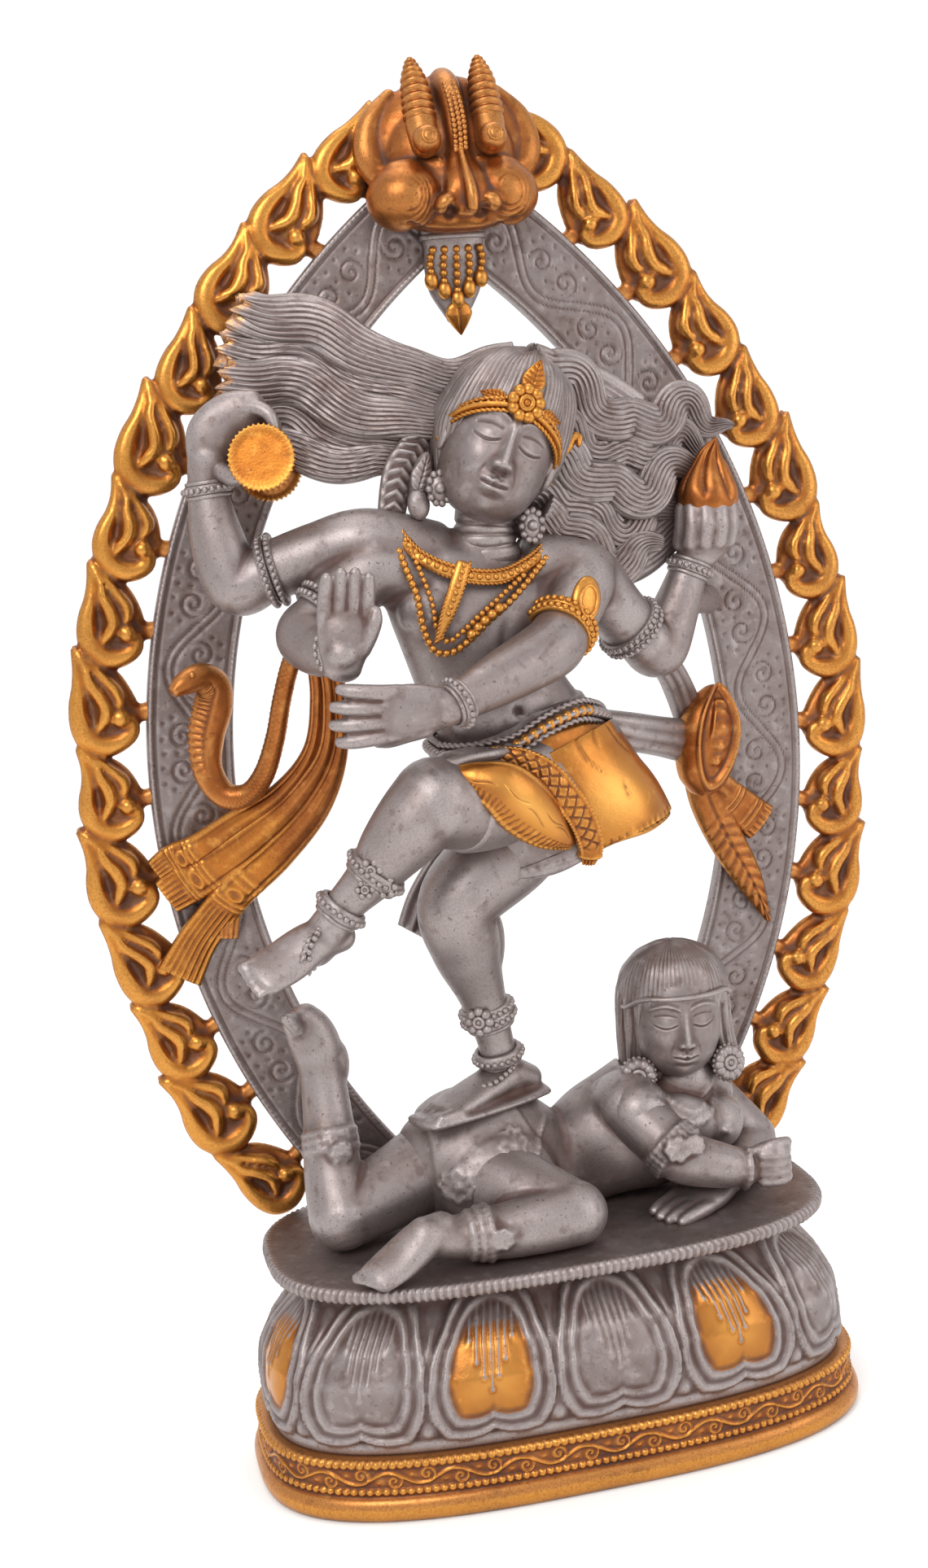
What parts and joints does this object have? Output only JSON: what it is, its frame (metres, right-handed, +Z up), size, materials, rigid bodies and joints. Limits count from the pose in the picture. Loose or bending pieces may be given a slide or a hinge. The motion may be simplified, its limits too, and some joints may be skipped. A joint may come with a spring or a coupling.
{
  "type": "brass nataraja statue",
  "caption": "Cast brass dancing deity in a pointed ring of flames with a lion mask, standing on a lying dwarf on an oval lotus base, grey patina with gilt details.",
  "frame": {"origin": "centre of the base's underside", "axes": "+Z up, the front faces -Y, +X is the viewer's right"},
  "size_m": [0.3878, 0.15, 0.6311],
  "materials": {
    "grey_patina": "satin gunmetal patina",
    "gilt": "polished gold-coloured brass",
    "copper_gilt": "reddish gold lacquered brass"
  },
  "bodies": {
    "root": {"plinth_foot": "gilt", "lotus_drum": "grey_patina", "base_deck": "grey_patina", "arch_band": "grey_patina", "flames_left": "gilt", "flames_right": "gilt", "mask_face": "copper_gilt", "mask_horns": "copper_gilt", "mask_pendant": "gilt", "torso": "grey_patina", "head": "grey_patina", "hair_cap": "grey_patina", "hair_left": "grey_patina", "hair_right": "grey_patina", "diadem": "gilt", "earrings": "grey_patina", "ear_scroll": "grey_patina", "forearm_drum": "grey_patina", "drum": "gilt", "forearm_palm": "grey_patina", "forearm_across": "grey_patina", "forearm_flame": "grey_patina", "hand_flame": "copper_gilt", "armlets": "gilt", "bracelets": "grey_patina", "necklace": "gilt", "waist_belt": "gilt", "skirt_right": "gilt", "skirt_left": "gilt", "skirt_tail": "gilt", "rear_cloth": "grey_patina", "standing_leg": "grey_patina", "raised_leg": "grey_patina", "anklets": "grey_patina", "cobra": "copper_gilt", "sash_left": "gilt", "sash_right": "copper_gilt", "arm_strut": "grey_patina", "dwarf_body": "grey_patina", "dwarf_head": "grey_patina", "dwarf_hair": "grey_patina", "dwarf_earrings": "grey_patina", "dwarf_arm_near": "grey_patina", "dwarf_arm_far": "grey_patina", "dwarf_leg_up": "grey_patina", "dwarf_leg_folded": "grey_patina"}
  },
  "joints": []
}
